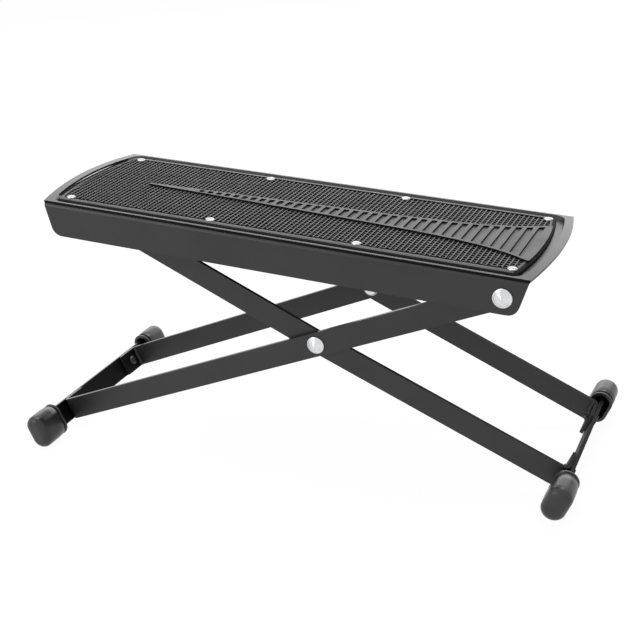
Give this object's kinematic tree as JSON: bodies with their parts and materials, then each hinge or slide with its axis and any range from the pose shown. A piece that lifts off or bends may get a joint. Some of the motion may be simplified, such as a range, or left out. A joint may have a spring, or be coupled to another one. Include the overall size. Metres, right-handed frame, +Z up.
{
  "type": "guitar footrest",
  "caption": "Folding guitar footrest: a pressed steel top with a ribbed rubber tread on crossed flat-bar legs that fold flat under it and stand on rubber caps.",
  "frame": {"origin": "middle of the footprint, on the floor under the rubber caps", "axes": "+X along the top towards its pivot end, +Y across it, +Z up"},
  "size_m": [0.3552, 0.155, 0.1649],
  "materials": {
    "black_coat": "satin black powder coat",
    "black_bar": "satin black powder coat",
    "tread_rubber": "matt moulded rubber",
    "cap_rubber": "soft satin rubber",
    "bright_steel": "bright nickel plate",
    "zinc_steel": "zinc plate"
  },
  "bodies": {
    "platform": {"top_plate": "black_coat", "tread_mat": "tread_rubber", "mat_rivet_near_1": "bright_steel", "mat_rivet_near_2": "bright_steel", "mat_rivet_near_3": "bright_steel", "mat_rivet_near_4": "bright_steel", "mat_rivet_far_1": "bright_steel", "mat_rivet_far_2": "bright_steel", "mat_rivet_far_3": "bright_steel", "mat_rivet_far_4": "bright_steel", "rack_near": "zinc_steel", "rack_far": "zinc_steel", "plate_pivot_rivet_near": "bright_steel", "plate_pivot_rivet_far": "bright_steel", "plate_pivot_spacer_near": "zinc_steel", "plate_pivot_spacer_far": "zinc_steel"},
    "outer_leg": {"outer_leg_bar_near": "black_bar", "outer_leg_bar_far": "black_bar", "outer_foot_bar": "black_bar", "outer_foot_rivet_near": "black_bar", "outer_foot_rivet_far": "black_bar", "outer_foot_cap_near": "cap_rubber", "outer_foot_cap_far": "cap_rubber", "scissor_rivet_near": "bright_steel", "scissor_rivet_far": "bright_steel", "scissor_washer_near": "zinc_steel", "scissor_washer_far": "zinc_steel"},
    "inner_leg": {"inner_leg_bar_near": "black_bar", "inner_leg_bar_far": "black_bar", "inner_cross_rod": "zinc_steel", "inner_foot_bar": "black_bar", "inner_foot_rivet_near": "black_bar", "inner_foot_rivet_far": "black_bar", "inner_foot_cap_near": "cap_rubber", "inner_foot_cap_far": "cap_rubber"}
  },
  "joints": [
    {"name": "outer_leg_fold", "type": "hinge", "parent": "platform", "child": "outer_leg", "pos_m": [0.1378, 0, 0.12292], "axis": [0, 1, 0], "range_deg": [-11.3, 25.6]},
    {"name": "inner_leg_fold", "type": "hinge", "parent": "outer_leg", "child": "inner_leg", "pos_m": [0.02428, 0, 0.08133], "axis": [0, 1, 0], "range_deg": [-46.2, 20.5]}
  ],
  "couplings": [
    {"joint": "inner_leg_fold", "follows": "outer_leg_fold", "ratio": -1.8}
  ]
}
